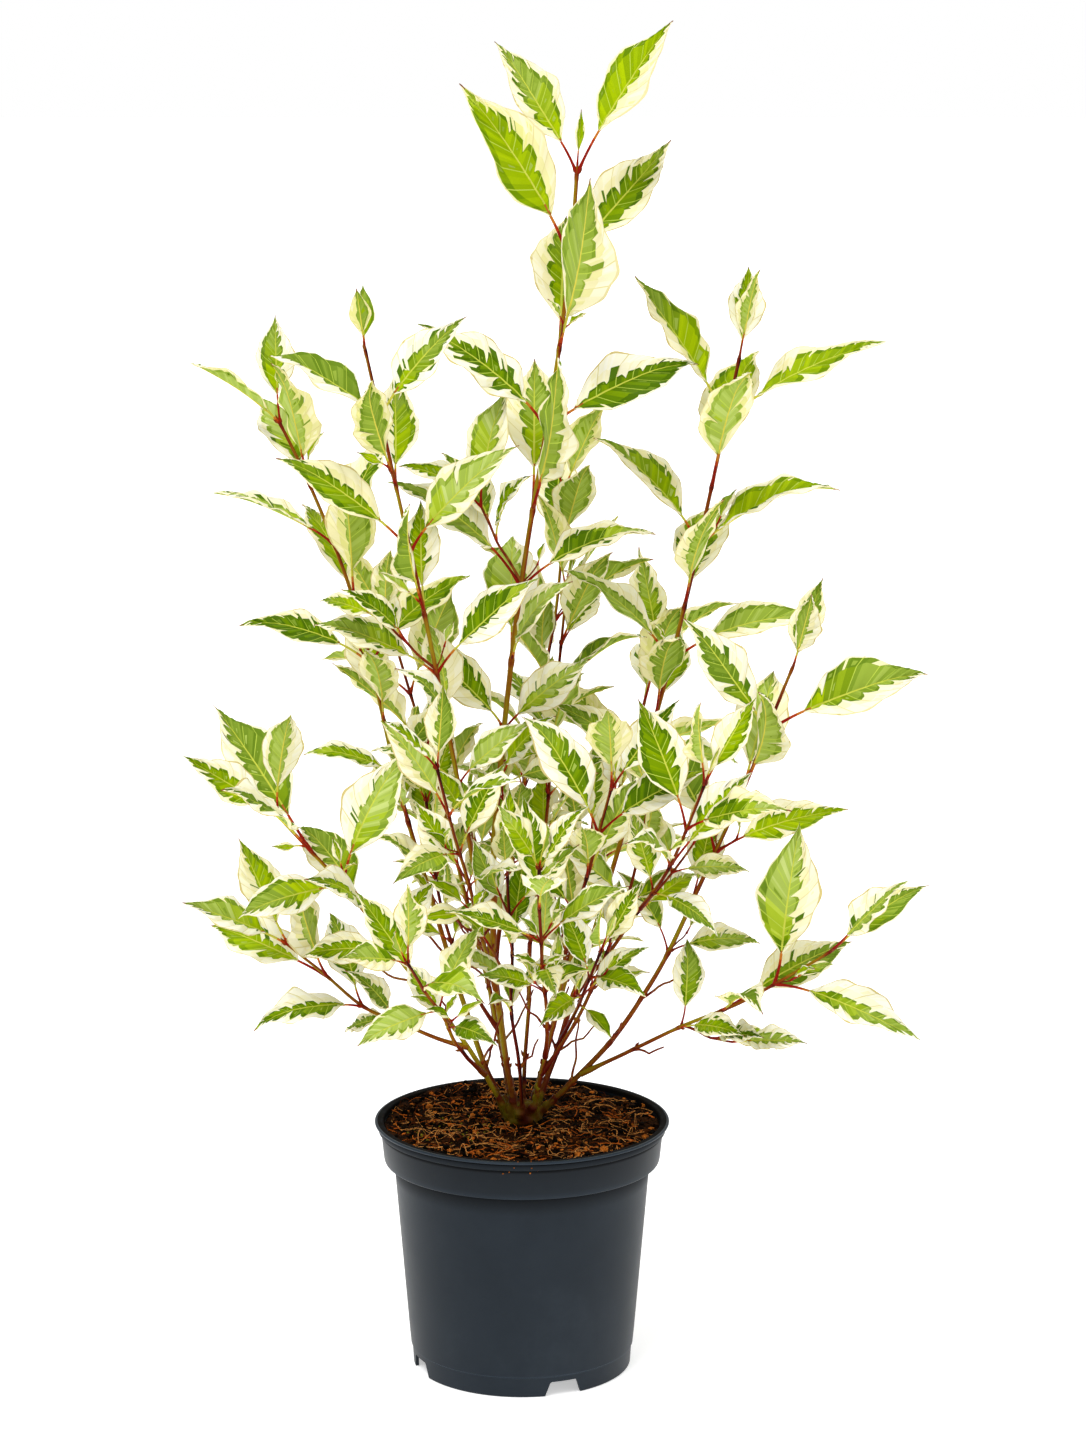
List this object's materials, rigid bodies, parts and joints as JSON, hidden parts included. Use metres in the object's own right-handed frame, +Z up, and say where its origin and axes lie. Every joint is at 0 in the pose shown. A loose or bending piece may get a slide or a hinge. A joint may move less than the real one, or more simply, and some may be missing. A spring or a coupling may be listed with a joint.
{
  "type": "potted variegated red-barked dogwood",
  "caption": "Multi-stemmed shrub with cream-edged green leaves on red-brown canes, rooted in a soil-filled round nursery pot that stands on its flat base.",
  "frame": {"origin": "centre of the pot's flat underside", "axes": "+Z up along the pot's axis, -Y towards the side that the picture shows, +X to the right in the picture"},
  "size_m": [0.4702, 0.4245, 0.8593],
  "materials": {
    "pot_plastic": "satin anthracite moulded plastic",
    "soil": "dark brown fibrous peat, loose and rough",
    "bark": "smooth red-brown to olive bark",
    "foliage": "satin green leaves with cream margins on red stalks"
  },
  "bodies": {
    "root": {"back_left_cane": "bark", "back_left_foliage": "foliage", "back_low_left_cane": "bark", "back_low_left_foliage": "foliage", "back_low_right_cane": "bark", "back_low_right_foliage": "foliage", "back_right_cane": "bark", "back_right_foliage": "foliage", "back_tall_cane": "bark", "back_tall_foliage": "foliage", "crown": "bark", "far_left_cane": "bark", "far_left_foliage_1": "foliage", "far_left_foliage_2": "foliage", "front_left_cane": "bark", "front_left_foliage": "foliage", "front_low_cane": "bark", "front_low_foliage": "foliage", "front_middle_cane": "bark", "front_middle_foliage": "foliage", "front_right_cane": "bark", "front_right_foliage": "foliage", "inner_front_cane": "bark", "inner_front_foliage": "foliage", "inner_left_cane": "bark", "inner_left_foliage": "foliage", "inner_low_cane": "bark", "inner_low_foliage": "foliage", "inner_right_cane": "bark", "inner_right_foliage": "foliage", "leader_cane": "bark", "leader_foliage_1": "foliage", "leader_foliage_2": "foliage", "leader_foliage_3": "foliage", "left_low_cane": "bark", "left_low_foliage": "foliage", "left_lowest_cane": "bark", "left_lowest_foliage": "foliage", "left_tall_cane": "bark", "left_tall_foliage_1": "foliage", "left_tall_foliage_2": "foliage", "middle_right_cane": "bark", "middle_right_foliage": "foliage", "middle_thin_cane": "bark", "middle_thin_foliage": "foliage", "pot": "pot_plastic", "right_cane": "bark", "right_foliage": "foliage", "right_low_cane": "bark", "right_low_foliage": "foliage", "right_tall_cane": "bark", "right_tall_foliage_1": "foliage", "right_tall_foliage_2": "foliage", "soil": "soil"}
  },
  "joints": []
}
